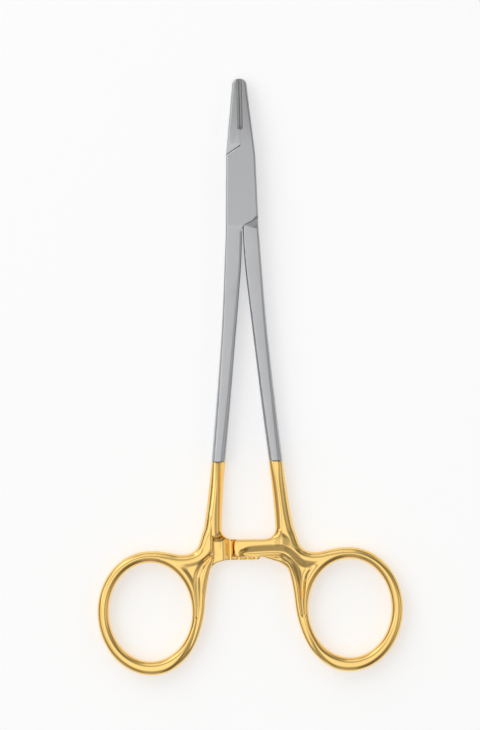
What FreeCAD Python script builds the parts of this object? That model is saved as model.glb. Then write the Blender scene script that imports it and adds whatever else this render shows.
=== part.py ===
import FreeCAD, Part
import os
from math import radians
import Sketcher
from FreeCAD import Placement, Rotation, Vector

# Needle holder with a box lock, lying flat. +Y runs to the jaw tips, +X to the right ring,
# +Z up. The origin is on the pivot axis, in the plane of the box's underside. Lengths are in mm.
doc = FreeCAD.newDocument("needle_holder")
sizes = doc.addObject("Spreadsheet::Sheet", "Sizes")

SIZES = [
    # box lock
    ("box_thick", 5.6), ("wall", 1.65), ("slide_gap", 0.05), ("pin_radius", 1.5), ("pin_gap", 0.05),
    ("head_half", 4.43), ("head_top_half", 3.95), ("edge_round", 0.6), ("seam_gap", 0.08),
    ("shoulder_in", 11.1), ("shoulder_out", 8.5), ("shoulder_gap", 0.18),
    ("heel_out", 8.2), ("heel_bend_across", 0.76), ("heel_bend", 10.07), ("heel_in", 11.0),
    ("hub_radius", 4.2), ("swing_gap", 0.06), ("wing_half", 3.85), ("wing_side", 9.0),
    ("wing_end_half", 3.2), ("wing_end", 13.0), ("box_end", 10.0), ("blend_end", 14.0),
    ("blend_drop", 0.7), ("tail_gap", 0.5), ("heel_half", 4.38),
    # facets where the halves' edges meet: how far each reaches along its piece, and its depth
    ("facet_side", 4.6), ("shoulder_facet", 1.2), ("heel_facet", 1.3), ("heel_facet_in", 2.8),
    ("root_facet", 4.4), ("shank_facet", 3.4), ("facet_deep", 0.5),
    # jaws and their brazed inserts
    ("tip", 29.1), ("tip_flat", 0.6), ("tip_side", 27.3), ("tip_half", 1.98), ("tip_round", 1.7),
    ("tip_thick", 3.0),
    ("flat_end", 11.8), ("insert_start", 15.5), ("insert_thick", 0.65), ("insert_face", 0.03),
    # ring: a flattened rod between two ovals, each of two end arcs and two side arcs; the hole's
    # half widths and end radius are less than the ring's by the rod's width there
    ("ring_across", 26.7), ("ring_along", 113.98), ("ring_half_wide", 14.3),
    ("ring_half_long", 16.68), ("ring_end_radius", 13.0), ("hole_shift", 0.33),
    ("rod_side", 3.1), ("rod_end", 3.38), ("rod_turn", 3.0),
    ("ring_thick", 4.0), ("ring_round", 1.35),
    # web between shank and ring: places from the ring's centre, towards the box and the middle
    ("web_thick", 3.2), ("web_round", 1.3), ("notch_radius", 8.0), ("notch_start", 19.4),
    ("notch_start_across", 12.1), ("notch_start_wide", 0.9), ("notch_end", 14.5),
    ("notch_end_across", 6.4), ("web_ring", 13.4), ("web_ring_across", 5.2), ("web_turn", 9.5),
    ("web_turn_across", 9.7), ("web_low", 3.5), ("web_low_across", 12.3), ("web_low_wide", 0.8),
    # scoops: the long hollow along the front of each bar and the valley of each web
    ("scoop_start", 3.0), ("scoop_end", 10.6), ("scoop_half_wide", 1.15), ("scoop_deep", 0.4),
    ("scoop_place", 3.3), ("valley_half_long", 7.2), ("valley_half_wide", 1.25),
    ("valley_low", 1.1), ("valley_along", 9.6), ("valley_across", 12.75), ("valley_lean", 5.0),
    # ratchet bars: the top edge's place is from the ring's centre
    ("bar_above_ring", 19.33), ("bar_wide", 4.95), ("bar_thick", 2.05), ("bar_gap", 0.1),
    ("bar_tip_front", 3.9), ("bar_tip_rear", 3.1), ("bar_tip_round", 1.1), ("bar_edge_round", 0.5),
    ("bar_root", 10.8), ("bar_root_top", 7.25), ("bar_fillet_top", 2.3), ("bar_leg", 10.9),
    ("bar_fillet_low", 4.2), ("teeth_start", 6.95), ("tooth_pitch", 2.3), ("tooth_crest", 0.67),
    ("tooth_deep", 0.7), ("tooth_count", 4),
]

# Shank and leg, from the box down to the ring: place along Y, inner and outer edge across,
# thickness and edge radius. The root's places are counted from the pivot and the centre line,
# the shank's are shares of the way to the ring's centre, the leg's are counted from that centre.
ROOT = [
    (7.0, 0.25, 4.15, 5.36, 0.60),
    (11.0, 0.15, 4.38, 5.42, 0.60),
    (18.0, 0.35, 4.82, 5.10, 0.65),
]
SHANK = [
    (0.2308, 0.0655, 0.2165, 4.50, 0.80),
    (0.3847, 0.1247, 0.2678, 4.20, 1.00),
    (0.5386, 0.1873, 0.3277, 4.00, 1.25),
    (0.6732, 0.2404, 0.3869, 4.10, 1.45),
    (0.7694, 0.2697, 0.4401, 4.40, 1.60),
]
LEG = [
    (14.98, 17.50, 13.50, 4.50, 1.60),
    (6.98, 15.15, 11.55, 4.20, 1.50),
    (0.48, 14.20, 11.10, 3.90, 1.40),
]
STATION_WORDS = ("down", "inner", "outer", "thick", "round")

for row, (word, number) in enumerate(SIZES, 1):
    sizes.set("A%d" % row, word)
    sizes.set("B%d" % row, str(number))
    sizes.setAlias("B%d" % row, word)
LETTERS = "abcdefghijkl"
for step, station in enumerate(ROOT + SHANK + LEG):
    for column, (word, number) in enumerate(zip(STATION_WORDS, station)):
        row = len(SIZES) + 1 + step * len(STATION_WORDS) + column
        alias = "shank_%s_%s" % (word, LETTERS[step])
        sizes.set("A%d" % row, alias)
        sizes.set("B%d" % row, str(number))
        sizes.setAlias("B%d" % row, alias)
doc.recompute()

MIDDLE = "Sizes.box_thick / 2"
FLAT = Rotation()
SIDEWAYS = Rotation(Vector(1, 1, 1), 120)
CROSSWAYS = Rotation(Vector(1, 0, 0), 90)


def value(formula):
    """Number that a formula over the sheet gives."""
    return float(sizes.evalExpression(formula))


def bind(thing, **formulas):
    """Tie properties to formulas; an underscore pair stands for a dot in the property's path."""
    for path, formula in formulas.items():
        thing.setExpression(path.replace("__", "."), formula)
    return thing


def fix(sketch, kind, edge, end, formula):
    """Hold one coordinate of an edge's end, or a radius, at a formula over the sheet."""
    if end:
        index = sketch.addConstraint(Sketcher.Constraint(kind, edge, end, value(formula)))
    else:
        index = sketch.addConstraint(Sketcher.Constraint(kind, edge, value(formula)))
    sketch.setExpression("Constraints[%d]" % index, formula)


def outline(name, corners, turn=FLAT):
    """Closed sketch through corners (x, y). A third entry is the radius of the arc that leads
    to the next corner, positive where the arc bulges out of a clockwise outline."""
    sketch = doc.addObject("Sketcher::SketchObject", name)
    sketch.Placement = Placement(Vector(), turn)
    points = [Vector(value(c[0]), value(c[1]), 0) for c in corners]
    for index, corner in enumerate(corners):
        here, there = points[index], points[(index + 1) % len(corners)]
        if len(corner) < 3:
            sketch.addGeometry(Part.LineSegment(here, there))
            continue
        radius = value(corner[2])
        chord = there - here
        side = Vector(-chord.y, chord.x, 0).normalize()
        rise = abs(radius) - (radius ** 2 - chord.Length ** 2 / 4) ** 0.5
        bulge = (here + there) / 2 + side * (rise if radius > 0 else -rise)
        sketch.addGeometry(Part.Arc(here, bulge, there))
    count = len(corners)
    ends = []
    for index in range(count):
        start = sketch.getPoint(index, 1)
        ends.append((1, 2) if start.distanceToPoint(points[index]) < 1e-6 else (2, 1))
    for index in range(count):
        after = (index + 1) % count
        sketch.addConstraint(Sketcher.Constraint("Coincident", index, ends[index][1], after, ends[after][0]))
    for index, corner in enumerate(corners):
        fix(sketch, "DistanceX", index, ends[index][0], corner[0])
        fix(sketch, "DistanceY", index, ends[index][0], corner[1])
        if len(corner) > 2:
            fix(sketch, "Radius", index, 0, corner[2].replace("-(", "("))
    return sketch


def slab(name, sketch, height, lift="0", centred=False):
    """Sketch pushed through a height, from a lift above its own plane or both ways from it."""
    body = doc.addObject("Part::Extrusion", name)
    body.Base = sketch
    body.DirMode = "Normal"
    body.Solid = True
    body.Symmetric = centred
    bind(body, LengthFwd=height, Placement__Base__z=lift)
    return body


def join(name, *things):
    """Union of several solids."""
    body = doc.addObject("Part::MultiFuse", name)
    body.Shapes = list(things)
    body.Refine = False
    return body


def mirrored(name, base):
    """The same solid on the other side of the centre line."""
    body = doc.addObject("Part::Mirroring", name)
    body.Source = base
    body.Normal = Vector(1, 0, 0)
    return body


def shared(name, first, second):
    """What two solids have in common."""
    body = doc.addObject("Part::Common", name)
    body.Base, body.Tool = first, second
    return body


def cut(name, base, tool):
    """The first solid less the second."""
    body = doc.addObject("Part::Cut", name)
    body.Base, body.Tool = base, tool
    return body


def turned_over(name, base):
    """The same solid turned half a turn about the line through the box's middle, along Y."""
    other = doc.addObject("Part::Mirroring", name)
    other.Source = mirrored(name + "_swap", base)
    other.Normal = Vector(0, 0, 1)
    bind(other, Base__z=MIDDLE)
    return other


def rounded(name, base, radius, wanted):
    """Fillet on the edges whose middle point passes the test."""
    doc.recompute()
    body = doc.addObject("Part::Fillet", name)
    body.Base = base
    size = value(radius)
    edges = []
    for index, edge in enumerate(base.Shape.Edges, 1):
        middle = edge.valueAt((edge.FirstParameter + edge.LastParameter) / 2)
        if wanted(edge, middle):
            edges.append((index, size, size))
    body.Edges = edges
    doc.recompute()
    return body


# Handle: shank and leg, one smooth loft through rounded sections.
def section(step):
    """Upright rounded section of the shank or the leg at one station."""
    letter = LETTERS[step]
    down, inner, outer, thick, corner = ("Sizes.shank_%s_%s" % (word, letter) for word in STATION_WORDS)
    if len(ROOT) <= step < len(ROOT + SHANK):
        down = "(Sizes.box_end + (Sizes.ring_along - Sizes.box_end) * %s)" % down
        inner, outer = ("(Sizes.ring_across * %s)" % place for place in (inner, outer))
    if step >= len(ROOT + SHANK):
        down = "(Sizes.ring_along - %s)" % down
        inner, outer = ("(Sizes.ring_across - %s)" % place for place in (inner, outer))
    low, high = "%s - %s / 2" % (MIDDLE, thick), "%s + %s / 2" % (MIDDLE, thick)
    sketch = doc.addObject("Sketcher::SketchObject", "shank_section_" + letter)
    sketch.Placement = Placement(Vector(0, -value(down), 0), CROSSWAYS)
    bind(sketch, Placement__Base__y="-" + down)
    turn = value(corner)
    centres = [Vector(value(x) + turn * i, value(z) + turn * j, 0) for x, z, i, j in (
        (inner, low, 1, 1), (outer, low, -1, 1), (outer, high, -1, -1), (inner, high, 1, -1))]
    outward = [Vector(0, -turn, 0), Vector(turn, 0, 0), Vector(0, turn, 0), Vector(-turn, 0, 0)]
    for side in range(4):
        here, there = centres[side], centres[(side + 1) % 4]
        sketch.addGeometry(Part.LineSegment(here + outward[side], there + outward[side]))
        circle = Part.Circle(there, Vector(0, 0, 1), turn)
        sketch.addGeometry(Part.ArcOfCircle(circle, radians(90 * side - 90), radians(90 * side)))
    for side in range(4):
        line, arc, following = 2 * side, 2 * side + 1, (2 * side + 2) % 8
        sketch.addConstraint(Sketcher.Constraint("Tangent", line, 2, arc, 1))
        sketch.addConstraint(Sketcher.Constraint("Tangent", arc, 2, following, 1))
    for line, kind in ((0, "Horizontal"), (2, "Vertical"), (4, "Horizontal"), (6, "Vertical")):
        sketch.addConstraint(Sketcher.Constraint(kind, line))
    for arc in (3, 5, 7):
        sketch.addConstraint(Sketcher.Constraint("Equal", 1, arc))
    fix(sketch, "Radius", 1, 0, corner)
    fix(sketch, "DistanceX", 6, 1, inner)
    fix(sketch, "DistanceX", 2, 1, outer)
    fix(sketch, "DistanceY", 0, 1, low)
    fix(sketch, "DistanceY", 4, 1, high)
    return sketch


shank = doc.addObject("Part::Loft", "shank")
shank.Sections = [section(step) for step in range(len(ROOT + SHANK + LEG))]
shank.Solid = True
shank.Ruled = False


def oval(name, along, half_wide, half_long, end_radius, height):
    """Upright oval of four arcs that meet smoothly. The side arcs' radius follows from the
    end arcs' radius and the two half lengths."""
    reach = "(%s - %s)" % (half_long, end_radius)
    spare = "(%s - %s)" % (half_wide, end_radius)
    side_centre = "((%s ^ 2 - %s ^ 2) / (2 * %s))" % (reach, spare, spare)
    span = "sqrt(%s ^ 2 + %s ^ 2)" % (side_centre, reach)
    join_across = "(%s * %s / %s)" % (end_radius, side_centre, span)
    join_along = "(%s + %s * %s / %s)" % (reach, end_radius, reach, span)
    side_radius = "(%s + %s)" % (span, end_radius)
    right, left = ("Sizes.ring_across %s %s" % (sign, join_across) for sign in "+-")
    upper, lower = ("%s - %s" % (join_along, along), "-%s - %s" % (join_along, along))
    plan = outline(name + "_plan", [
        (right, upper, side_radius),
        (right, lower, end_radius),
        (left, lower, side_radius),
        (left, upper, end_radius),
    ])
    return slab(name, plan, height, MIDDLE, True)


ring_blank = oval("ring_blank", "Sizes.ring_along", "Sizes.ring_half_wide", "Sizes.ring_half_long",
                  "Sizes.ring_end_radius", "Sizes.ring_thick")
ring_hole = oval("ring_hole", "(Sizes.ring_along - Sizes.hole_shift)",
                 "(Sizes.ring_half_wide - Sizes.rod_side)", "(Sizes.ring_half_long - Sizes.rod_end)",
                 "(Sizes.ring_end_radius - Sizes.rod_turn)", "Sizes.box_thick")
ring = rounded("ring", cut("ring_plain", ring_blank, ring_hole), "Sizes.ring_round",
               lambda edge, middle: edge.Curve.TypeId == "Part::GeomCircle")

# Web: the thinner metal that fills the corner between shank and ring.
web_plan = outline("web_plan", [
    ("Sizes.notch_start_across - Sizes.notch_start_wide", "Sizes.notch_start - Sizes.ring_along"),
    ("Sizes.notch_start_across", "Sizes.notch_start - Sizes.ring_along", "-(Sizes.notch_radius)"),
    ("Sizes.ring_across - Sizes.notch_end_across", "Sizes.notch_end - Sizes.ring_along"),
    ("Sizes.ring_across - Sizes.web_ring_across", "Sizes.web_ring - Sizes.ring_along"),
    ("Sizes.ring_across - Sizes.web_turn_across", "Sizes.web_turn - Sizes.ring_along"),
    ("Sizes.ring_across - Sizes.web_low_across", "Sizes.web_low - Sizes.ring_along"),
    ("Sizes.ring_across - Sizes.web_low_across - Sizes.web_low_wide",
     "Sizes.web_low - Sizes.ring_along"),
])
web_plain = slab("web_plain", web_plan, "Sizes.web_thick", MIDDLE, True)
web = rounded("web", web_plain, "Sizes.web_round",
              lambda edge, middle: edge.Curve.TypeId == "Part::GeomCircle")

# Ratchet bars: the front one grows from the right shank and passes over the rear one.
# Each has its teeth on the face towards the other, steep sides facing its own shank.
BAR_FACE = MIDDLE + " + Sizes.bar_gap / 2"
BAR_BACK = BAR_FACE + " + Sizes.bar_thick"
BAR_TOP = "Sizes.bar_above_ring - Sizes.ring_along"
BAR_LOW = BAR_TOP + " - Sizes.bar_wide"


def bar(name, tip):
    """Front ratchet bar that ends at a distance past the centre line."""
    plan = outline(name + "_plan", [
        ("Sizes.bar_tip_round - " + tip, BAR_TOP),
        ("Sizes.bar_root_top - Sizes.bar_fillet_top", BAR_TOP, "-(Sizes.bar_fillet_top)"),
        ("Sizes.bar_root_top", BAR_TOP + " + Sizes.bar_fillet_top"),
        ("Sizes.bar_root", BAR_TOP + " + Sizes.bar_fillet_top"),
        ("Sizes.bar_leg + 1.5", BAR_LOW + " - Sizes.bar_fillet_low"),
        ("Sizes.bar_leg", BAR_LOW + " - Sizes.bar_fillet_low", "-(Sizes.bar_fillet_low)"),
        ("Sizes.bar_leg - Sizes.bar_fillet_low", BAR_LOW),
        ("Sizes.bar_tip_round - " + tip, BAR_LOW, "Sizes.bar_tip_round"),
        ("-" + tip, BAR_LOW + " + Sizes.bar_tip_round"),
        ("-" + tip, BAR_TOP + " - Sizes.bar_tip_round", "Sizes.bar_tip_round"),
    ])
    slope = "(Sizes.tooth_pitch - Sizes.tooth_crest)"
    rack = [
        ("-Sizes.teeth_start", BAR_BACK),
        ("Sizes.teeth_start * 2", BAR_BACK),
        ("Sizes.teeth_start * 2", BAR_FACE),
        ("Sizes.teeth_start", BAR_FACE),
    ]
    for tooth in range(round(value("Sizes.tooth_count"))):
        steep = "Sizes.teeth_start - %s - %d * Sizes.tooth_pitch" % (slope, tooth)
        rack.append((steep, BAR_FACE + " + Sizes.tooth_deep"))
        rack.append((steep, BAR_FACE))
        rack.append((steep + " - Sizes.tooth_crest", BAR_FACE))
    rack.append(("-Sizes.teeth_start", BAR_FACE + " + Sizes.tooth_deep"))
    teeth = slab(name + "_rack", outline(name + "_rack_outline", rack, CROSSWAYS), "Sizes.ring_along * 2.2",
                 "0", True)
    blank = slab(name + "_blank", plan, "Sizes.box_thick")
    plain = shared(name + "_plain", blank, teeth)

    def at_back(edge, middle):
        """Long edges of the bar's outward face."""
        return abs(middle.z - value(BAR_BACK)) < 1e-3 and middle.x < value("Sizes.bar_leg")

    return rounded(name, plain, "Sizes.bar_edge_round", at_back)


front_bar = bar("front_bar", "Sizes.bar_tip_front")
rear_bar = turned_over("rear_bar", bar("rear_bar_unturned", "Sizes.bar_tip_rear"))


def hollow(name, half_long, half_wide, half_deep, across, along, lift, turn):
    """Long egg-shaped cutter, lying flat and turned in plan."""
    body = doc.addObject("Part::Ellipsoid", name)
    body.Placement = Placement(Vector(), Rotation(Vector(0, 0, 1), value(turn)))
    bind(body, Radius2=half_long, Radius3=half_wide, Radius1=half_deep, Placement__Base__x=across,
         Placement__Base__y=along, Placement__Base__z=lift)
    return body


# The hollow along a bar's outward face, and the valleys on both faces of a web.
SCOOP_HALF = "(Sizes.scoop_start + Sizes.scoop_end) / 2"
bar_scoop = hollow("bar_scoop", SCOOP_HALF, "Sizes.scoop_half_wide", "Sizes.scoop_deep",
                   "(Sizes.scoop_end - Sizes.scoop_start) / 2", BAR_TOP + " - Sizes.scoop_place",
                   BAR_BACK, "0")
front_valley = hollow("front_valley", "Sizes.valley_half_long", "Sizes.valley_half_wide",
                      "Sizes.web_thick / 2", "Sizes.ring_across - Sizes.valley_across",
                      "Sizes.valley_along - Sizes.ring_along",
                      MIDDLE + " + Sizes.web_thick / 2 + Sizes.valley_low", "90 + Sizes.valley_lean")
rear_valley = hollow("rear_valley", "Sizes.valley_half_long", "Sizes.valley_half_wide",
                     "Sizes.web_thick / 2", "Sizes.ring_across - Sizes.valley_across",
                     "Sizes.valley_along - Sizes.ring_along",
                     MIDDLE + " - Sizes.web_thick / 2 - Sizes.valley_low", "90 + Sizes.valley_lean")

# Head: the side profile is common to both halves. The faces are flat over the box and curve in
# towards the tips and towards the shanks.
TOP = "Sizes.box_thick"
TIP_RUN = "(Sizes.tip + 0.5 - Sizes.flat_end)"
TIP_FALL = "((Sizes.box_thick - Sizes.tip_thick) / 2)"
END_RUN = "(Sizes.blend_end - Sizes.box_end)"
TIP_CURVE = "(%s ^ 2 + %s ^ 2) / (2 * %s)" % (TIP_RUN, TIP_FALL, TIP_FALL)
END_CURVE = "(%s ^ 2 + Sizes.blend_drop ^ 2) / (2 * Sizes.blend_drop)" % END_RUN
side_profile = outline("side_profile", [
    ("-Sizes.box_end", TOP),
    ("Sizes.flat_end", TOP, TIP_CURVE),
    ("Sizes.flat_end + " + TIP_RUN, TOP + " - " + TIP_FALL),
    ("Sizes.flat_end + " + TIP_RUN, TIP_FALL, TIP_CURVE),
    ("Sizes.flat_end", "0"),
    ("-Sizes.box_end", "0", END_CURVE),
    ("-Sizes.blend_end", "Sizes.blend_drop"),
    ("-Sizes.blend_end", TOP + " - Sizes.blend_drop", END_CURVE),
], SIDEWAYS)
SIDE_TAPER = "(Sizes.head_half - Sizes.head_top_half) / (Sizes.box_end + Sizes.shoulder_out)"
TAIL_HALF = "Sizes.head_half + %s * (Sizes.blend_end - Sizes.box_end)" % SIDE_TAPER
HEEL_HALF = "Sizes.head_half - %s * (Sizes.box_end - Sizes.heel_out)" % SIDE_TAPER


def side_at(along):
    """Half width of the head at a place along Y."""
    shoulder = value("Sizes.shoulder_out")
    if along < shoulder:
        return value("Sizes.head_top_half") + value(SIDE_TAPER) * (shoulder - along)
    slope = value("(Sizes.head_top_half - Sizes.tip_half) / (Sizes.tip_side - Sizes.shoulder_out)")
    return value("Sizes.head_top_half") - slope * (along - shoulder)


def at_outside(edge, middle):
    """Long outer edges of the head, round the tip's corner too."""
    if abs(edge.valueAt(edge.FirstParameter).z - edge.valueAt(edge.LastParameter).z) > 1.2:
        return False
    if middle.y > value("Sizes.tip_side") + 0.05:
        return abs(middle.x) > value("Sizes.tip_flat") + 0.1
    return abs(abs(middle.x) - side_at(middle.y)) < 0.1


def head(name, corners):
    """Outline pushed through the box's height, cut to the side profile, outer edges rounded."""
    blank = slab(name + "_blank", outline(name + "_plan", corners), TOP)
    profile = slab(name + "_profile", side_profile, "Sizes.head_half * 4", "0", True)
    return rounded(name, shared(name + "_plain", blank, profile), "Sizes.edge_round", at_outside)


def shaving(name, start, end, low):
    """Two blocks that ease a piece's upper and lower face: the plane of each goes through two
    points in the face and a third one below it, to the left of the way from start to end."""
    first, last, third = (Vector(*(value(formula) for formula in point)) for point in (start, end, low))
    across = (last - first).normalize()
    upward = (last - first).cross(third - first).normalize()
    block = doc.addObject("Part::Box", name)
    block.Placement = Placement(first, Rotation(across, upward.cross(across), upward, "ZXY"))
    block.Length = (last - first).Length
    bind(block, Width="Sizes.head_half * 2", Height="Sizes.wall")
    under = doc.addObject("Part::Mirroring", name + "_under")
    under.Source = block
    under.Normal = Vector(0, 0, 1)
    bind(under, Base__z=MIDDLE)
    return block, under


box_head = head("box_head", [
    ("Sizes.insert_face", "Sizes.tip"),
    ("Sizes.tip_flat", "Sizes.tip", "Sizes.tip_round"),
    ("Sizes.tip_half", "Sizes.tip_side"),
    ("Sizes.head_top_half", "Sizes.shoulder_out"),
    (HEEL_HALF, "-Sizes.heel_out"),
    ("Sizes.heel_bend_across", "-Sizes.heel_bend"),
    ("-Sizes.seam_gap", "-Sizes.heel_in"),
    ("-Sizes.tail_gap", "-Sizes.blend_end"),
    ("-(%s)" % TAIL_HALF, "-Sizes.blend_end"),
    ("-Sizes.head_top_half", "Sizes.shoulder_out"),
    ("Sizes.seam_gap", "Sizes.shoulder_in"),
    ("Sizes.seam_gap", "Sizes.insert_start"),
    ("Sizes.insert_face", "Sizes.insert_start"),
])
jaw_head = head("jaw_head", [
    ("-Sizes.insert_face", "Sizes.tip"),
    ("-Sizes.insert_face", "Sizes.insert_start"),
    ("-Sizes.seam_gap", "Sizes.insert_start"),
    ("-Sizes.seam_gap", "Sizes.shoulder_in + Sizes.shoulder_gap"),
    ("-Sizes.head_top_half", "Sizes.shoulder_out + Sizes.shoulder_gap"),
    ("-Sizes.tip_half", "Sizes.tip_side", "Sizes.tip_round"),
    ("-Sizes.tip_flat", "Sizes.tip"),
])

# Facets beside the lines where the two halves' edges meet on the box.
shoulder_facet = shaving(
    "shoulder_facet", ("-Sizes.facet_side", "Sizes.shoulder_out - Sizes.shoulder_facet", TOP),
    ("Sizes.seam_gap", "Sizes.shoulder_in", TOP),
    ("-Sizes.facet_side", "Sizes.shoulder_out", TOP + " - Sizes.facet_deep"))
heel_facet = shaving(
    "heel_facet", ("Sizes.facet_side", "Sizes.heel_facet - Sizes.heel_out", TOP),
    ("Sizes.heel_facet_in", "-Sizes.heel_out - Sizes.heel_facet_in / 4", TOP),
    ("Sizes.facet_side", "-Sizes.heel_out", TOP + " - Sizes.facet_deep"))
root_facet = shaving(
    "root_facet", ("-Sizes.seam_gap", "Sizes.shoulder_in + Sizes.shoulder_gap", TOP),
    ("-Sizes.facet_side", "Sizes.shoulder_out + Sizes.root_facet", TOP),
    ("-Sizes.facet_side", "Sizes.shoulder_out", TOP + " - Sizes.facet_deep"))
SHANK_TOP = MIDDLE + " + Sizes.shank_thick_b / 2"
shank_facet = shaving(
    "shank_facet", ("Sizes.heel_bend_across", "-Sizes.heel_bend - Sizes.shoulder_gap", SHANK_TOP),
    ("Sizes.facet_side", "-Sizes.heel_out - Sizes.shank_facet", SHANK_TOP),
    ("Sizes.facet_side", "-Sizes.heel_out", SHANK_TOP + " - Sizes.facet_deep"))

# Slot of the box. What is left between the walls stops the tongue where the jaws open widest.
STOP = "(Sizes.hub_radius + Sizes.swing_gap) * 1.41421356"
slot = slab("slot", outline("slot_plan", [
    ("-Sizes.head_half * 2", "Sizes.shoulder_in"),
    ("Sizes.seam_gap", "Sizes.shoulder_in"),
    ("Sizes.seam_gap", STOP + " - Sizes.seam_gap"),
    ("Sizes.head_half * 2", STOP + " - Sizes.head_half * 2"),
    ("Sizes.head_half * 2", "-Sizes.heel_in"),
    ("-Sizes.seam_gap", "-Sizes.heel_in"),
    ("-Sizes.seam_gap", "Sizes.seam_gap - " + STOP),
    ("-Sizes.head_half * 2", "Sizes.head_half * 2 - " + STOP),
]), "Sizes.box_thick - 2 * Sizes.wall", "Sizes.wall")


def pin(name, radius, low, height):
    """Upright cylinder on the pivot axis."""
    body = doc.addObject("Part::Cylinder", name)
    return bind(body, Radius=radius, Height=height, Placement__Base__z=low)


# Tongue: a round hub with a wing up into the left jaw and one down into the right shank.
TONGUE_LOW = "Sizes.wall + Sizes.slide_gap"
TONGUE_THICK = "Sizes.box_thick - 2 * Sizes.wall - 2 * Sizes.slide_gap"
hub = pin("hub", "Sizes.hub_radius", TONGUE_LOW, TONGUE_THICK)
wing_up = slab("wing_up", outline("wing_up_plan", [
    ("-Sizes.hub_radius", "0"),
    ("-Sizes.wing_half", "Sizes.wing_side"),
    ("-Sizes.wing_end_half", "Sizes.wing_end"),
    ("-Sizes.seam_gap", "Sizes.wing_end"),
    ("-Sizes.seam_gap", "0"),
]), TONGUE_THICK, TONGUE_LOW)
wing_down = slab("wing_down", outline("wing_down_plan", [
    ("Sizes.seam_gap", "0"),
    ("Sizes.hub_radius", "0"),
    ("Sizes.wing_half", "-Sizes.wing_side"),
    ("Sizes.wing_end_half", "-Sizes.wing_end"),
    ("Sizes.seam_gap * 2", "-Sizes.wing_end"),
]), TONGUE_THICK, TONGUE_LOW)
heel_cut = slab("heel_cut", outline("heel_cut_plan", [
    ("-Sizes.seam_gap", "0"),
    ("2 * Sizes.heel_half - Sizes.heel_bend_across", "0"),
    ("2 * Sizes.heel_half - Sizes.heel_bend_across",
     "Sizes.heel_bend - 2 * Sizes.heel_out - Sizes.shoulder_gap"),
    ("Sizes.heel_bend_across", "-Sizes.heel_bend - Sizes.shoulder_gap"),
    ("-Sizes.seam_gap", "-Sizes.heel_in - Sizes.shoulder_gap"),
]), TOP)

# Carbide inserts: each fills a recess along its jaw's inner side.
def insert_block(name, low):
    """Block that marks out one insert."""
    body = doc.addObject("Part::Box", name)
    return bind(body, Length="Sizes.insert_thick", Width="Sizes.tip", Height=TOP,
                Placement__Base__x=low, Placement__Base__y="Sizes.insert_start")


block_right = insert_block("block_right", "Sizes.insert_face")
block_left = insert_block("block_left", "-Sizes.insert_face - Sizes.insert_thick")
insert_right = shared("insert_right", box_head, block_right)
insert_left = shared("insert_left", jaw_head, block_left)

left_arm = [mirrored(thing.Name + "_left", thing) for thing in (shank, ring, web)]
left_hollows = [mirrored("front_valley_left", front_valley), mirrored("rear_valley_left", rear_valley),
                turned_over("bar_scoop_rear", bar_scoop)]
box_eased = cut("box_eased", box_head, join("box_facets", *shoulder_facet, *heel_facet))
box_arm = cut("box_arm", join("box_whole", box_eased, rear_bar, *left_arm), slot)
box_cuts = join("box_cuts", pin("box_bore", "Sizes.pin_radius", "0", TOP), block_right,
                *left_hollows)
box_half = cut("box_half", box_arm, box_cuts)
tongue = join("tongue", hub, wing_up, wing_down)
jaw_eased = cut("jaw_eased", jaw_head, join("jaw_facets", *root_facet))
shank_eased = cut("shank_eased", shank, join("shank_facets", heel_cut, *shank_facet))
tongue_arm = join("tongue_arm", shank_eased, ring, web, front_bar, tongue, jaw_eased)
tongue_cuts = join("tongue_cuts", pin("tongue_bore", "Sizes.pin_radius + Sizes.pin_gap", "0", TOP),
                   block_left, bar_scoop, front_valley, rear_valley)
tongue_half = cut("tongue_half", tongue_arm, tongue_cuts)
pivot_pin = pin("pivot_pin", "Sizes.pin_radius", "0", TOP)

nodes = {
    "box_half": box_half,
    "tongue_half": tongue_half,
    "pivot_pin": pivot_pin,
    "carbide_insert_right": insert_right,
    "carbide_insert_left": insert_left,
}
for name, body in nodes.items():
    body.Label = name
doc.recompute()

for thing in doc.Objects:
    if "Invalid" in thing.State or "Error" in thing.State:
        raise RuntimeError("%s failed" % thing.Name)
for name, body in nodes.items():
    shape = body.Shape
    if shape.isNull() or not shape.isValid() or len(shape.Solids) != 1:
        raise RuntimeError("%s is not one valid solid" % name)

os.makedirs("parts", exist_ok=True)
for name, body in nodes.items():
    body.Shape.exportStep("parts/%s.step" % name)
    box = body.Shape.BoundBox
    print(name, round(body.Shape.Volume, 2), [round(v, 2) for v in (
        box.XMin, box.YMin, box.ZMin, box.XMax, box.YMax, box.ZMax)])
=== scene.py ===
from math import radians

import bmesh
import bpy
import numpy as np
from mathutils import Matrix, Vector


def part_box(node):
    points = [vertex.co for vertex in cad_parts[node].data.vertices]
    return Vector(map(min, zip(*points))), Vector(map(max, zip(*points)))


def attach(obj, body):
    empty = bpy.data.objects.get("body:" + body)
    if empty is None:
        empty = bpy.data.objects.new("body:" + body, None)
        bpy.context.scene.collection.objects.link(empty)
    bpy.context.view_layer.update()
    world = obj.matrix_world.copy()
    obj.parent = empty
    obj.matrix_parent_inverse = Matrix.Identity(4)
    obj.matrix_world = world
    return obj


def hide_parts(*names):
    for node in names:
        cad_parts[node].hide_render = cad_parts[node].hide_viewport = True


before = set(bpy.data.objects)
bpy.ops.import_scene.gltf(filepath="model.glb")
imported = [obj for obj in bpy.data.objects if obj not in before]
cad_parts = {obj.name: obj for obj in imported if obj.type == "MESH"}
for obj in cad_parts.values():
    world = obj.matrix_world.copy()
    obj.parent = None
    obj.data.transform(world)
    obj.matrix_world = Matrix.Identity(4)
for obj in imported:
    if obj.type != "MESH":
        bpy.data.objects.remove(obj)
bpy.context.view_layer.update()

MM = 0.001

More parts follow.
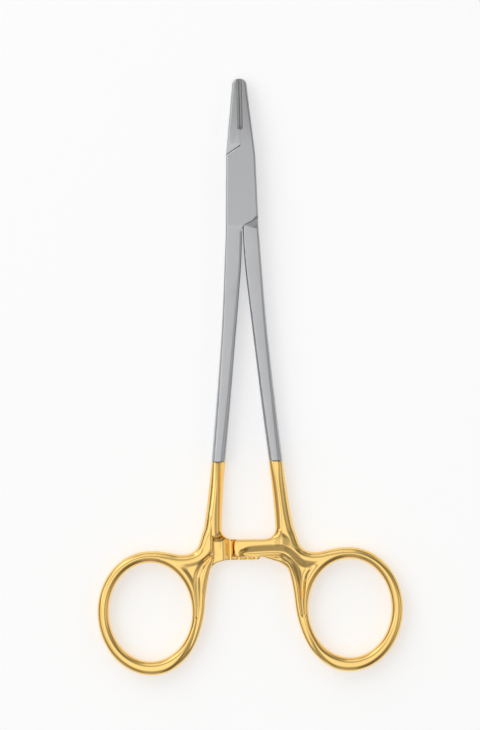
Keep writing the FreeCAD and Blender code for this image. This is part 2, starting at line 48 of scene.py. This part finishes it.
# Satin steel of the jaws, the box and the upper shanks: stainless forgings, ground flat and then
# blasted fine and even. The wheel leaves faint marks along the piece, and a stone has broken the
# sharp edges, save round the rivet, which is ground flush together with the box.
WHEEL_MARKS = (9000, 500, 9000)
MARK_DEPTH = 0.02 * MM
STONED_EDGE = 0.13 * MM
RIVET_REGION = 2.2 * MM
FACET_ANGLE = radians(28)
GOLD_START = -73.6
JAW_START = 11
JAW_GAP = 0.05
GAP_LEFT = 0.2


def maths(tree, operation, *values):
    """Output of a math node that is fed by numbers or by other nodes' outputs."""
    node = tree.nodes.new("ShaderNodeMath")
    node.operation = operation
    for socket, value in zip(node.inputs, values):
        if isinstance(value, (int, float)):
            socket.default_value = value
        else:
            tree.links.new(value, socket)
    return node.outputs[0]


def steel_material(name, colour, roughness, grain):
    """Metal with fine marks along Y in the object's own coordinates. Its edges look rounded by a
    radius that is the stoned edge's, times one past the rivet's region and times none within."""
    material = bpy.data.materials.new(name)
    material.use_nodes = True
    nodes, links = material.node_tree.nodes, material.node_tree.links
    shader = nodes["Principled BSDF"]
    shader.inputs["Metallic"].default_value = 1.0
    shader.inputs["Base Color"].default_value = (*colour, 1)
    place = nodes.new("ShaderNodeTexCoord")
    stretch = nodes.new("ShaderNodeMapping")
    stretch.inputs["Scale"].default_value = WHEEL_MARKS
    links.new(place.outputs["Object"], stretch.inputs["Vector"])
    marks = nodes.new("ShaderNodeTexNoise")
    marks.inputs["Scale"].default_value = 1.0
    marks.inputs["Detail"].default_value = 3.0
    links.new(stretch.outputs["Vector"], marks.inputs["Vector"])
    spread = nodes.new("ShaderNodeMapRange")
    spread.inputs["To Min"].default_value = roughness - grain
    spread.inputs["To Max"].default_value = roughness + grain
    links.new(marks.outputs["Fac"], spread.inputs["Value"])
    links.new(spread.outputs["Result"], shader.inputs["Roughness"])
    flat = nodes.new("ShaderNodeVectorMath")
    flat.operation = "MULTIPLY"
    flat.inputs[1].default_value = (1, 1, 0)
    links.new(place.outputs["Object"], flat.inputs[0])
    from_rivet = nodes.new("ShaderNodeVectorMath")
    from_rivet.operation = "LENGTH"
    links.new(flat.outputs["Vector"], from_rivet.inputs[0])
    past_rivet = maths(material.node_tree, "GREATER_THAN", from_rivet.outputs["Value"], RIVET_REGION)
    edges = nodes.new("ShaderNodeBevel")
    edges.samples = 8
    links.new(maths(material.node_tree, "MULTIPLY", past_rivet, STONED_EDGE), edges.inputs["Radius"])
    bump = nodes.new("ShaderNodeBump")
    bump.inputs["Strength"].default_value = 0.12
    bump.inputs["Distance"].default_value = MARK_DEPTH
    links.new(marks.outputs["Fac"], bump.inputs["Height"])
    links.new(edges.outputs["Normal"], bump.inputs["Normal"])
    links.new(bump.outputs["Normal"], shader.inputs["Normal"])
    return material


satin_steel = steel_material("satin_steel", (0.565, 0.57, 0.585), 0.30, 0.05)


def press_shut(data):
    """Brings the faces between the jaws, which stand 0.03 mm from the middle plane, to a fifth of
    that, so that no light falls through: X times the share that is left."""
    places = np.empty(len(data.vertices) * 3)
    data.vertices.foreach_get("co", places)
    across, along = places[::3], places[1::3]
    across[(np.abs(across) < JAW_GAP * MM) & (along > JAW_START * MM)] *= GAP_LEFT
    data.vertices.foreach_set("co", places)


def steel_part(name, node, body):
    """The CAD half above the line where the plating starts, as one closed mesh."""
    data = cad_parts[node].data.copy()
    shape = bmesh.new()
    shape.from_mesh(data)
    bmesh.ops.remove_doubles(shape, verts=shape.verts, dist=1e-6)
    everything = [*shape.verts, *shape.edges, *shape.faces]
    cut = bmesh.ops.bisect_plane(shape, geom=everything, plane_co=(0, GOLD_START * MM, 0),
                                 plane_no=(0, -1, 0), clear_outer=True)
    rim = [part for part in cut["geom_cut"] if isinstance(part, bmesh.types.BMEdge)]
    bmesh.ops.contextual_create(shape, geom=rim)
    bmesh.ops.recalc_face_normals(shape, faces=shape.faces)
    shape.to_mesh(data)
    shape.free()
    press_shut(data)
    data.materials.clear()
    data.materials.append(satin_steel)
    data.attributes.remove(data.attributes["custom_normal"])
    data.shade_smooth()
    data.set_sharp_from_angle(angle=FACET_ANGLE)
    piece = bpy.data.objects.new(name, data)
    flats = piece.modifiers.new("flats", "WEIGHTED_NORMAL")
    flats.weight = 100
    flats.keep_sharp = True
    bpy.context.scene.collection.objects.link(piece)
    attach(piece, body)
    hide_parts(node)


steel_part("box_steel", "box_half", "box_arm")
steel_part("tongue_steel", "tongue_half", "tongue_arm")

# Rivet of the box lock: a pin of the same steel, headed into both walls and ground flush, so
# that it can't be told from the box.
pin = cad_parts["pivot_pin"]
pin.data.materials.clear()
pin.data.materials.append(satin_steel)

# Carbide inserts: dark sintered blocks brazed into the jaws. The working face is cut crosswise
# into small pyramids, and its long edges are ground off, which leaves a groove between them.
# The slopes of that groove are painted near black: painted shade where the groove lies in shade.
CUT_PITCH = 0.3 * MM
GROUND_EDGE = 0.14 * MM
EDGE_ANGLE = radians(60)
# The middle shade is painted shade: near black on the ground slopes, standing in for the shade in the
# groove between the jaws. The other two are the carbide's own tones.
FACE_SHADE, PAINTED_GROOVE_SHADE, WORKING_SHADE = 0.37, 0.04, 0.34
SLOPE_STARTS, WORKING_STARTS = 0.5, 0.9

carbide = steel_material("carbide", (FACE_SHADE, FACE_SHADE, FACE_SHADE), 0.45, 0.05)
carbide_tree = carbide.node_tree
carbide_nodes, carbide_links = carbide_tree.nodes, carbide_tree.links
spot = carbide_nodes.new("ShaderNodeSeparateXYZ")
carbide_links.new(carbide_nodes["Texture Coordinate"].outputs["Object"], spot.inputs[0])
sides = []
for operation in ("ADD", "SUBTRACT"):
    diagonal = maths(carbide_tree, operation, spot.outputs["Y"], spot.outputs["Z"])
    sides.append(maths(carbide_tree, "PINGPONG", diagonal, CUT_PITCH))
pyramids = maths(carbide_tree, "MINIMUM", *sides)
facing = carbide_nodes.new("ShaderNodeNewGeometry")
turned = carbide_nodes.new("ShaderNodeSeparateXYZ")
carbide_links.new(facing.outputs["Normal"], turned.inputs[0])
inward = maths(carbide_tree, "ABSOLUTE", turned.outputs["X"])
cuts = carbide_nodes.new("ShaderNodeBump")
cuts.inputs["Distance"].default_value = 1.0
carbide_links.new(maths(carbide_tree, "GREATER_THAN", inward, WORKING_STARTS), cuts.inputs["Strength"])
carbide_links.new(pyramids, cuts.inputs["Height"])
carbide_links.new(carbide_nodes["Bump"].outputs["Normal"], cuts.inputs["Normal"])
carbide_links.new(cuts.outputs["Normal"], carbide_nodes["Principled BSDF"].inputs["Normal"])
# Colour by how far the normal turns toward X. The top and the working face get the carbide's own tones,
# and the ground slopes between them get painted shade, near black.
tone_and_painted_shade = carbide_nodes.new("ShaderNodeValToRGB")
tone_and_painted_shade.color_ramp.interpolation = "CONSTANT"
tone_and_painted_shade.color_ramp.elements.new(SLOPE_STARTS)
tones_and_painted_shade = ((0, FACE_SHADE), (SLOPE_STARTS, PAINTED_GROOVE_SHADE), (WORKING_STARTS, WORKING_SHADE))
for element, (start, shade) in zip(tone_and_painted_shade.color_ramp.elements, tones_and_painted_shade):
    element.position, element.color = start, (shade, shade, shade, 1)
carbide_links.new(inward, tone_and_painted_shade.inputs["Fac"])
carbide_links.new(tone_and_painted_shade.outputs["Color"], carbide_nodes["Principled BSDF"].inputs["Base Color"])


def carbide_insert(name, node, body):
    """Insert with the long edges of its working face ground off."""
    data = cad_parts[node].data.copy()
    shape = bmesh.new()
    shape.from_mesh(data)
    bmesh.ops.remove_doubles(shape, verts=shape.verts, dist=1e-6)
    bmesh.ops.dissolve_limit(shape, angle_limit=radians(1), verts=shape.verts, edges=shape.edges)
    shape.to_mesh(data)
    shape.free()
    press_shut(data)
    data.materials.clear()
    data.materials.append(carbide)
    data.attributes.remove(data.attributes["custom_normal"])
    piece = bpy.data.objects.new(name, data)
    bpy.context.scene.collection.objects.link(piece)
    ease = piece.modifiers.new("ground_edges", "BEVEL")
    ease.width = GROUND_EDGE
    ease.segments = 1
    ease.limit_method = "ANGLE"
    ease.angle_limit = EDGE_ANGLE
    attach(piece, body)
    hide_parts(node)


carbide_insert("insert_right", "carbide_insert_right", "box_arm")
carbide_insert("insert_left", "carbide_insert_left", "tongue_arm")

# Gold-plated handles: the lower end of each forging, ground to flowing round sections, polished
# and plated. Each is shank, ring, bead and ratchet bar in one, worked out as one field of
# distances in mm and meshed where the field is zero.
gold = bpy.data.materials.new("gold_plating")
gold.use_nodes = True
gold_shader = gold.node_tree.nodes["Principled BSDF"]
gold_shader.inputs["Metallic"].default_value = 1.0
gold_shader.inputs["Base Color"].default_value = (0.95, 0.64, 0.22, 1)
gold_shader.inputs["Roughness"].default_value = 0.12

MIDDLE = (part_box("box_half")[1].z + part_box("box_half")[0].z) / 2 / MM


def curve(places, values, at):
    """Smooth curve through values at rising places: a cubic between each two of them, with the
    slope at each place taken from its neighbours."""
    places, values = np.asarray(places, float), np.asarray(values, float)
    slopes = np.gradient(values, places)
    at = np.clip(at, places[0], places[-1])
    left = np.clip(np.searchsorted(places, at) - 1, 0, len(places) - 2)
    span = places[left + 1] - places[left]
    share = (at - places[left]) / span
    rest = 1 - share
    return (values[left] * rest ** 2 * (1 + 2 * share) + values[left + 1] * share ** 2 * (1 + 2 * rest)
            + span * share * rest * (slopes[left] * rest - slopes[left + 1] * share))


def merged(first, second, reach):
    """Union of two distances with a fillet: the lower one, less (reach - gap)^2 / (4 reach) where
    the two differ by a gap smaller than the reach."""
    near = np.maximum(reach - np.abs(first - second), 0)
    return np.minimum(first, second) - near * near / (4 * reach)


def carved(body, tool, reach):
    """Body less tool, with the edge between them eased over the reach."""
    return -merged(-body, tool, reach)


def raised(plan, lift, low, high, corner):
    """A plan shape, given by its distance, raised from low to high with its edges rounded: the
    length of (distance + corner, height beyond + corner) where both are positive, less corner."""
    beyond = np.abs(lift - (low + high) / 2) - (high - low) / 2 + corner
    inside = plan + corner
    round_part = np.hypot(np.maximum(inside, 0), np.maximum(beyond, 0))
    return round_part + np.minimum(np.maximum(inside, beyond), 0) - corner


def strand(x, y, points):
    """Distance in plan to a band along points (x, y, half width), and how far along it the
    nearest place is, from 0 to the number of points less one."""
    best = np.full(np.broadcast(x, y).shape, 1e3)
    along = np.zeros_like(best)
    for step, (a, b) in enumerate(zip(points, points[1:])):
        run = (b[0] - a[0], b[1] - a[1])
        share = np.clip(((x - a[0]) * run[0] + (y - a[1]) * run[1]) / (run[0] ** 2 + run[1] ** 2), 0, 1)
        gap = np.hypot(x - a[0] - share * run[0], y - a[1] - share * run[1])
        gap = gap - (a[2] + (b[2] - a[2]) * share)
        along = np.where(gap < best, step + share, along)
        best = np.minimum(best, gap)
    return best, along


PATH_PIECES = 8


def smooth_path(points):
    """More points on the smooth curve through the given ones."""
    at = np.linspace(0, len(points) - 1, PATH_PIECES * (len(points) - 1) + 1)
    return list(zip(*(curve(range(len(points)), column, at) for column in zip(*points))))


# Shank, ring and neck of the right handle. Each pair holds places and the values there: along Y,
# the shank's edges in X, the half thickness and the edge radius; round the hole, from +X in
# degrees, the width of the ring's rod. The neck is points in X and Y with half widths.
SHANK_INNER = ((-99, -96.5, -95, -92, -88, -82, -74, -66), (7.3, 7.3, 7.3, 7.25, 7.07, 6.6, 5.83, 5.0))
SHANK_OUTER = ((-99, -96.5, -95, -92, -88, -82, -74, -66),
               (15.0, 13.2, 12.75, 12.13, 11.45, 10.6, 9.58, 8.75))
SHANK_LOW = -97.5
HOLE_MIDDLE, HOLE_HALVES = (26.82, -113.65), (11.2, 13.3)
ROD_WIDTH = ((-180, -152, -137, -122, -108, -90, -60, -30, 0, 90, 135, 155, 180),
             (2.1, 1.95, 2.25, 3.05, 3.65, 3.7, 3.4, 3.1, 3.02, 3.05, 3.05, 2.6, 2.1))
NECK = [(10.2, -94.6, 2.2), (11.3, -97.2, 2.2), (13.3, -99.15, 1.95), (16.0, -100.1, 1.85),
        (18.7, -100.25, 1.85), (21.6, -99.65, 1.6), (24.6, -99.0, 1.0)]
HALF_THICK = ((-131, -113, -98, -90, -74, -66), (2.0, 2.0, 2.15, 2.2, 2.02, 2.0))
EDGE_ROUND = ((-131, -100, -94, -79, -74.5, -66), (1.45, 1.6, 2.0, 1.95, 1.4, 1.25))
NECK_SOFT, ROD_SOFT = 1.8, 1.4


def shank_plan(x, y):
    """Distance in plan to the shank: a band between two curves along Y, cut off below."""
    return np.maximum(np.maximum(curve(*SHANK_INNER, y) - x, x - curve(*SHANK_OUTER, y)), SHANK_LOW - y)


def ring_gap(x, y):
    """Distance outwards from the hole's edge, to first order, and the angle round the hole."""
    across, along = x - HOLE_MIDDLE[0], y - HOLE_MIDDLE[1]
    size = np.hypot(across / HOLE_HALVES[0], along / HOLE_HALVES[1]) + 1e-6
    slope = np.hypot(across / HOLE_HALVES[0] ** 2, along / HOLE_HALVES[1] ** 2) / size + 1e-6
    return (size - 1) / slope, np.degrees(np.arctan2(along, across))


def shank_and_ring(x, y, lift, gap, angle):
    """Shank, neck and rod merged in plan, less the hole, and raised to both sides of the middle
    with round edges."""
    rod = np.maximum(-gap, gap - curve(*ROD_WIDTH, angle))
    neck = strand(x, y, smooth_path(NECK))[0]
    plan = np.maximum(merged(merged(shank_plan(x, y), neck, NECK_SOFT), rod, ROD_SOFT), -gap)
    thick = curve(*HALF_THICK, y)
    return raised(plan, lift, -thick, thick, curve(*EDGE_ROUND, y))


# Bead and web. The bead is points in X and Y with half widths, and a height at each; the web
# between bead, neck and ring is a thinner plate with a height along Y on its front and its back.
BEAD = [(8.6, -98.8, 0.55), (10.0, -99.85, 0.8), (11.25, -101.7, 1.0), (12.05, -104.3, 1.1),
        (12.6, -107, 1.12), (12.95, -110, 1.02), (13.25, -113.5, 0.95), (13.75, -116.5, 0.87),
        (14.45, -119.2, 0.78), (15.5, -122, 0.7), (17.05, -124.8, 0.62), (19.3, -127.3, 0.5),
        (22.2, -129.0, 0.3)]
BEAD_HEIGHT = (1.9, 2.05, 2.1, 2.05, 2.0, 1.95, 1.88, 1.82, 1.75, 1.65, 1.5, 1.3, 1.1)
BEAD_ROUND, BEAD_SOFT = 0.85, 0.6
WEB_FRONT = ((-118, -112, -108, -103), (0.95, 1.25, 1.3, 0.95))
WEB_BACK = ((-119, -113, -108), (0.9, 1.7, 1.9))
WEB_RIGHT, WEB_LOW, WEB_FROM_HOLE, WEB_ROUND = 24, -118, 1, 0.1
WEB_SOFT, WEB_SOFT_BY_SIDE = ((-112, -106), (0.3, 1.1)), ((-0.5, 0.5), (0.4, 1))


def with_bead_and_web(body, bead, x, y, lift, gap):
    """Body merged with the bead, given by its plan and how far along it, and with the web."""
    bead_plan, along = bead
    height = curve(range(len(BEAD)), BEAD_HEIGHT, along / PATH_PIECES)
    bead_rows = sorted((row, across) for across, row, _ in BEAD)
    bead_middle = curve(*zip(*bead_rows), y)
    neck_middle = curve(*zip(*[(across, row) for across, row, _ in NECK]), x)
    web = np.maximum(np.maximum(bead_middle - x, x - WEB_RIGHT), np.maximum(y - neck_middle, WEB_LOW - y))
    web = raised(np.maximum(web, WEB_FROM_HOLE - gap), lift, -curve(*WEB_BACK, y), curve(*WEB_FRONT, y),
                 WEB_ROUND)
    body = merged(body, raised(bead_plan, lift, -height, height, BEAD_ROUND), BEAD_SOFT)
    return merged(body, web, curve(*WEB_SOFT, y) * curve(*WEB_SOFT_BY_SIDE, lift))


# Ratchet bar: in front of the middle plane, with the rack of saw teeth on the face toward the
# other bar. Behind it the shank is planed to the rack's level, with a short ramp at the top.
BAR_TOP, BAR_ROOT, BAR_FACE, BAR_BACK, BAR_ROUND = -94.65, 10, 0.05, 2.1, 1.1
TEETH_START, TOOTH_PITCH, TOOTH_CREST, TOOTH_DEEP, TOOTH_COUNT = 6.95, 2.3, 0.67, 0.7, 4
RAMP, RAMP_BY_X = ((-95.3, -94.7, -94.1, -93.5), (0, -0.25, -1.2, -2.6)), ((6.2, 8.2), (0, 1))
PLANED_RIGHT, PLANED_LOW, PLANED_SOFT = 9.5, -101.5, 1.0
SHANK_SOFT = 3.4
BAR_RIGHT, BAR_MIDDLE, BAR_REACH = 11.0, -97.6, 6.4
BAR_EDGE = ((-102, -99.8, -94.9, -92.2), (0.85, 0.5, 0.5, 2.05))
BAR_HEIGHT = ((7.0, 9.0, 11.0), (BAR_BACK, 1.95, 1.3))
TEETH_SHARP, TEETH_SOFT, TEETH_SOFT_BY_Y = 0.02, ((6.9, 8.2), (0, 1)), ((-96.5, -95), (0, 1))
BAR_SOFT, BAR_SOFT_BY_Y = ((0, 1.2), (0.15, 1.1)), ((-104, -100, -94, -91.5), (0.1, 1, 1, 0.1))


def tooth_depth(x):
    """How deep the rack is below its crests: each tooth slopes down over the pitch less the
    crest's width, then stands up steeply; past the last tooth the face falls away evenly."""
    run = TEETH_START - x
    share = np.mod(run, TOOTH_PITCH) / (TOOTH_PITCH - TOOTH_CREST)
    tooth = np.where(share < 1, share, 0) * TOOTH_DEEP
    last = TOOTH_COUNT * TOOTH_PITCH
    beyond = (run - last) / TEETH_START * TOOTH_DEEP
    return np.where(run < 0, 0, np.where(run < last, tooth, beyond))


def with_bar(body, bead_plan, x, y, lift, tip, bar_low, leg_soft):
    """Body planed behind the bar and merged with it: a rectangle from the tip to the root with
    two round corners, flowing into shank and bead, raised and cut by the teeth."""
    face = BAR_FACE + curve(*RAMP, y) * curve(*RAMP_BY_X, x)
    planed = np.maximum(np.maximum(x - PLANED_RIGHT, lift - face), PLANED_LOW - y)
    body = carved(body, planed, PLANED_SOFT)
    half_long, half_wide = (BAR_ROOT + tip) / 2, (BAR_TOP - bar_low) / 2
    across, down = x - (BAR_ROOT - tip) / 2, y - (BAR_TOP + bar_low) / 2
    corner_x, corner_y = np.abs(across) - half_long + BAR_ROUND, np.abs(down) - half_wide + BAR_ROUND
    at_corner = (corner_x > 0) & (corner_y > 0) & (across < 0)
    square = np.maximum(np.abs(across) - half_long, np.abs(down) - half_wide)
    bar = np.where(at_corner, np.hypot(corner_x, corner_y) - BAR_ROUND, square)
    bar = merged(bar, np.maximum(shank_plan(x, y), x - PLANED_RIGHT), SHANK_SOFT)
    bar = merged(bar, bead_plan, leg_soft)
    bar = np.maximum(np.maximum(bar, x - BAR_RIGHT), np.abs(y - BAR_MIDDLE) - BAR_REACH)
    high = curve(*BAR_HEIGHT, x)
    soft = TEETH_SHARP + curve(*TEETH_SOFT, x) * curve(*TEETH_SOFT_BY_Y, y)
    bar = carved(raised(bar, lift, -high, high, curve(*BAR_EDGE, y)), lift - face - tooth_depth(x), soft)
    return merged(body, bar, curve(*BAR_SOFT, lift) * curve(*BAR_SOFT_BY_Y, y))


# Creases: a long hollow along the front bar that runs on into the web's valley, and a narrower
# valley on the back. Both are points in X and Y with half widths, and rise out of the metal below.
VALLEY = [(-1.4, -98.3, 0.7), (1.0, -97.95, 1.05), (8.2, -97.9, 1.1), (11.2, -99.7, 1.2),
          (13.0, -102.0, 1.25), (13.8, -104.8, 1.0), (13.95, -108.5, 0.6), (14.05, -112, 0.4),
          (14.3, -115, 0.2)]
REAR_VALLEY = [(9.9, -98.7, 0.25), (11.2, -99.8, 0.45), (12.7, -101.4, 0.55), (13.75, -103.4, 0.6),
               (14.1, -105.4, 0.5), (14.05, -108.5, 0.4), (14.1, -112, 0.3), (14.35, -115, 0.15)]
VALLEY_TOP, VALLEY_DEEP, VALLEY_SOFT = 2.2, 0.85, 0.8
REAR_TOP, REAR_DEEP, REAR_SOFT = 2.3, 0.75, 0.6
CREASE_RISE = ((-115, -106), (0.55, 0))
HOLLOW_MIDDLE, HOLLOW_HALF, HOLLOW_LEAN = -97.9, 1.4, ((7.5, 11), (0.25, 0))


def trough(x, y, lift, points, top, deep):
    """Distance to a long egg-shaped tool along the points, centred at a height, with the band's
    half width and a depth as half axes."""
    gap, along = strand(x, y, smooth_path(points))
    half = curve(range(len(points)), [point[2] for point in points], along / PATH_PIECES)
    return (np.hypot((gap + half) / half, (lift - top) / deep) - 1) * np.minimum(half, deep)


def handle_field(x, y, lift, tip, bar_low, leg_soft):
    """Signed distance, in mm, to the handle of the right half: shank and ring, with bead, web and
    bar merged on, less the creases of the front and the back."""
    gap, angle = ring_gap(x, y)
    bead_plan, along = strand(x, y, smooth_path(BEAD))
    bead_plan = np.maximum(bead_plan, -gap)
    body = shank_and_ring(x, y, lift, gap, angle)
    body = with_bead_and_web(body, (bead_plan, along), x, y, lift, gap)
    body = with_bar(body, bead_plan, x, y, lift, tip, bar_low, leg_soft)
    rise = curve(*CREASE_RISE, y)
    lean = np.clip(y - HOLLOW_MIDDLE, -HOLLOW_HALF, HOLLOW_HALF) * curve(*HOLLOW_LEAN, x)
    body = carved(body, trough(x, y, lift - lean - rise, VALLEY, VALLEY_TOP, VALLEY_DEEP), VALLEY_SOFT)
    return carved(body, trough(x, y, -lift - rise, REAR_VALLEY, REAR_TOP, REAR_DEEP), REAR_SOFT)


# Meshing of a handle: a grid of cells with a border past the handle on every side.
STEP = 0.2
BORDER, LOWEST, WIDEST, HALF_DEEP = 1.0, -131.4, 41.8, 2.8
GOLD_ANGLE = radians(50)


def skin(field, corner):
    """Closed mesh of quads round the places where a field on a regular grid is below zero. Each
    cell that the surface crosses has one vertex, the mean of the crossings on its edges."""
    cells = tuple(count - 1 for count in field.shape)
    total, count, faces = np.zeros(cells + (3,)), np.zeros(cells), []
    crossings = []
    for axis in range(3):
        first, last = np.moveaxis(field, axis, 0)[:-1], np.moveaxis(field, axis, 0)[1:]
        crossed = np.moveaxis((first < 0) != (last < 0), 0, axis)
        share = np.moveaxis(first / np.where(first == last, 1, first - last), 0, axis)
        crossings.append((crossed, np.moveaxis(first < 0, 0, axis)))
        others = [other for other in range(3) if other != axis]
        for i, j in ((0, 0), (0, 1), (1, 0), (1, 1)):
            window = [slice(None)] * 3
            window[others[0]] = slice(i, i + cells[others[0]])
            window[others[1]] = slice(j, j + cells[others[1]])
            hit = crossed[tuple(window)]
            count += hit
            total[..., axis] += share[tuple(window)] * hit
            total[..., others[0]] += i * hit
            total[..., others[1]] += j * hit
    used = count > 0
    number = np.full(cells, -1)
    number[used] = np.arange(used.sum())
    points = np.argwhere(used) + total[used] / count[used][:, None]
    for axis, (crossed, inside) in enumerate(crossings):
        others = [other for other in range(3) if other != axis]
        places = np.argwhere(crossed)
        corners = []
        for i, j in ((1, 1), (0, 1), (0, 0), (1, 0)):
            cell = places.copy()
            cell[:, others[0]] -= i
            cell[:, others[1]] -= j
            corners.append(number[tuple(cell.T)])
        quads = np.stack(corners, 1)
        outward = inside[tuple(places.T)] == (axis != 1)
        faces.append(np.where(outward[:, None], quads, quads[:, ::-1]))
    return points * STEP + corner, np.concatenate(faces)


def gold_handle(name, node, body, tip, bar_low, leg_soft, turned):
    """Handle from the plating line down, settled on the field's surface by Newton steps: each
    moves a point by the field over its slope, against the slope. The left one is turned over."""
    corner = np.array((-tip - BORDER, LOWEST, -HALF_DEEP))
    size = (WIDEST + tip + BORDER, GOLD_START - LOWEST, 2 * HALF_DEEP)
    axes = [low + np.arange(int(round(reach / STEP)) + 1) * STEP for low, reach in zip(corner, size)]
    field = handle_field(*np.meshgrid(*axes, indexing="ij", sparse=True), tip, bar_low, leg_soft)
    field[:, -1, :] = STEP
    points, faces = skin(field, corner)
    free = points[:, 1] < GOLD_START - STEP
    probe = STEP / 20
    for _ in range(2):
        here = handle_field(*points.T, tip, bar_low, leg_soft)
        slope = np.stack([handle_field(*(points + shift).T, tip, bar_low, leg_soft) - here
                          for shift in np.eye(3) * probe], 1) / probe
        move = slope * (here / np.maximum((slope ** 2).sum(1), 0.2))[:, None]
        points[free] -= np.clip(move, -STEP / 3, STEP / 3)[free]
    if turned:
        points[:, (0, 2)] *= -1
    points[:, 2] += MIDDLE
    data = bpy.data.meshes.new(name)
    data.from_pydata((points * MM).tolist(), [], faces.tolist())
    data.materials.append(gold)
    data.shade_smooth()
    data.set_sharp_from_angle(angle=GOLD_ANGLE)
    piece = bpy.data.objects.new(name, data)
    bpy.context.scene.collection.objects.link(piece)
    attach(piece, body)
    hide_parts(node)


gold_handle("gold_right", "tongue_half", "tongue_arm", 3.9, -99.4, 5.5, False)
gold_handle("gold_left", "box_half", "box_arm", 3.1, -100.15, 2.8, True)

# Floor: a matt white board that the instrument lies on. Seen directly, in metal or through glass
# it has a little glow of its own, so that it stays white beside the soft shadow.
FLOOR_REACH = 3
FLOOR_GLOW = 0.42
floor_mesh = bpy.data.meshes.new("floor")
floor_corners = [(x * FLOOR_REACH, y * FLOOR_REACH, 0) for x, y in ((-1, -1), (1, -1), (1, 1), (-1, 1))]
floor_mesh.from_pydata(floor_corners, [], [(0, 1, 2, 3)])
floor = bpy.data.objects.new("floor", floor_mesh)
bpy.context.scene.collection.objects.link(floor)
paper = bpy.data.materials.new("paper")
paper.use_nodes = True
paper_tree = paper.node_tree
paper_shader = paper_tree.nodes["Principled BSDF"]
paper_shader.inputs["Base Color"].default_value = (0.88, 0.88, 0.88, 1)
paper_shader.inputs["Roughness"].default_value = 1.0
paper_shader.inputs["Specular IOR Level"].default_value = 0.0
paper_shader.inputs["Emission Color"].default_value = (1, 1, 1, 1)
ray = paper_tree.nodes.new("ShaderNodeLightPath")
seen = maths(paper_tree, "MAXIMUM", ray.outputs["Is Camera Ray"], ray.outputs["Is Glossy Ray"])
seen = maths(paper_tree, "MAXIMUM", seen, ray.outputs["Is Transmission Ray"])
glow = maths(paper_tree, "MULTIPLY", seen, FLOOR_GLOW)
paper_tree.links.new(glow, paper_shader.inputs["Emission Strength"])
floor_mesh.materials.append(paper)

# Studio: a broad pale panel overhead and to the left, dark gaps beside it, and dimmer walls. The
# sky's strength is one curve over the direction's X times one over its Y.
SKY = {"X": ((-1, 0.3), (-0.85, 0.45), (-0.55, 0.95), (-0.3, 0.8), (-0.1, 1.1), (0.08, 1.0), (0.22, 0.5),
             (0.4, 0.4), (0.75, 0.75), (1, 0.4)),
       "Y": ((-1, 0.4), (-0.7, 0.4), (-0.45, 0.55), (-0.3, 0.9), (-0.14, 1.1), (0.0, 1.05), (0.16, 0.6),
             (0.38, 0.45), (0.65, 1.0), (0.9, 0.9), (1, 0.5))}
world = bpy.data.worlds.new("studio")
bpy.context.scene.world = world
world.use_nodes = True
sky_nodes, sky_links = world.node_tree.nodes, world.node_tree.links
direction = sky_nodes.new("ShaderNodeTexCoord")
heading = sky_nodes.new("ShaderNodeSeparateXYZ")
sky_links.new(direction.outputs["Generated"], heading.inputs[0])
strengths = []
for axis, stops in SKY.items():
    unit = sky_nodes.new("ShaderNodeMapRange")
    unit.inputs["From Min"].default_value = -1
    sky_links.new(heading.outputs[axis], unit.inputs["Value"])
    strength = sky_nodes.new("ShaderNodeValToRGB")
    strength.color_ramp.interpolation = "EASE"
    for place, level in stops[1:-1]:
        strength.color_ramp.elements.new((place + 1) / 2)
    for element, (place, level) in zip(strength.color_ramp.elements, stops):
        element.color = (level, level, level, 1)
    sky_links.new(unit.outputs["Result"], strength.inputs["Fac"])
    strengths.append(strength.outputs["Color"])
sky = sky_nodes["Background"]
sky.inputs["Color"].default_value = (1, 1, 1, 1)
sky_links.new(maths(world.node_tree, "MULTIPLY", *strengths), sky.inputs["Strength"])

# Key lamp: a square soft box on the left, turned to the middle of the instrument.
lamp = bpy.data.lights.new("key_lamp", "AREA")
lamp.size, lamp.energy = 1.0, 2.2
stand = bpy.data.objects.new("key_lamp", lamp)
stand.location = (-0.75, 0.4, 0.8)
stand.rotation_euler = (Vector((0, -0.05, 0)) - stand.location).to_track_quat("-Z", "Y").to_euler()
bpy.context.scene.collection.objects.link(stand)

# Camera: straight above, far off, turned a little so that the tips lean left as in the photo.
PHOTO_SCALE = 0.2685
PHOTO_TALL = 730
PHOTO_MIDDLE = (-1.37, -47.77)
PHOTO_TURN = radians(-1.19)
FOCUS_HEIGHT = 4
camera = bpy.data.objects.new("camera", bpy.data.cameras.new("camera"))
camera.data.lens = 150
camera.data.sensor_width = 36
away = PHOTO_TALL * PHOTO_SCALE * camera.data.lens / camera.data.sensor_width
camera.location = (PHOTO_MIDDLE[0] * MM, PHOTO_MIDDLE[1] * MM, (away + FOCUS_HEIGHT) * MM)
camera.rotation_euler = (0, 0, PHOTO_TURN)
bpy.context.scene.collection.objects.link(camera)
bpy.context.scene.camera = camera
bpy.context.scene.view_settings.view_transform = "Standard"
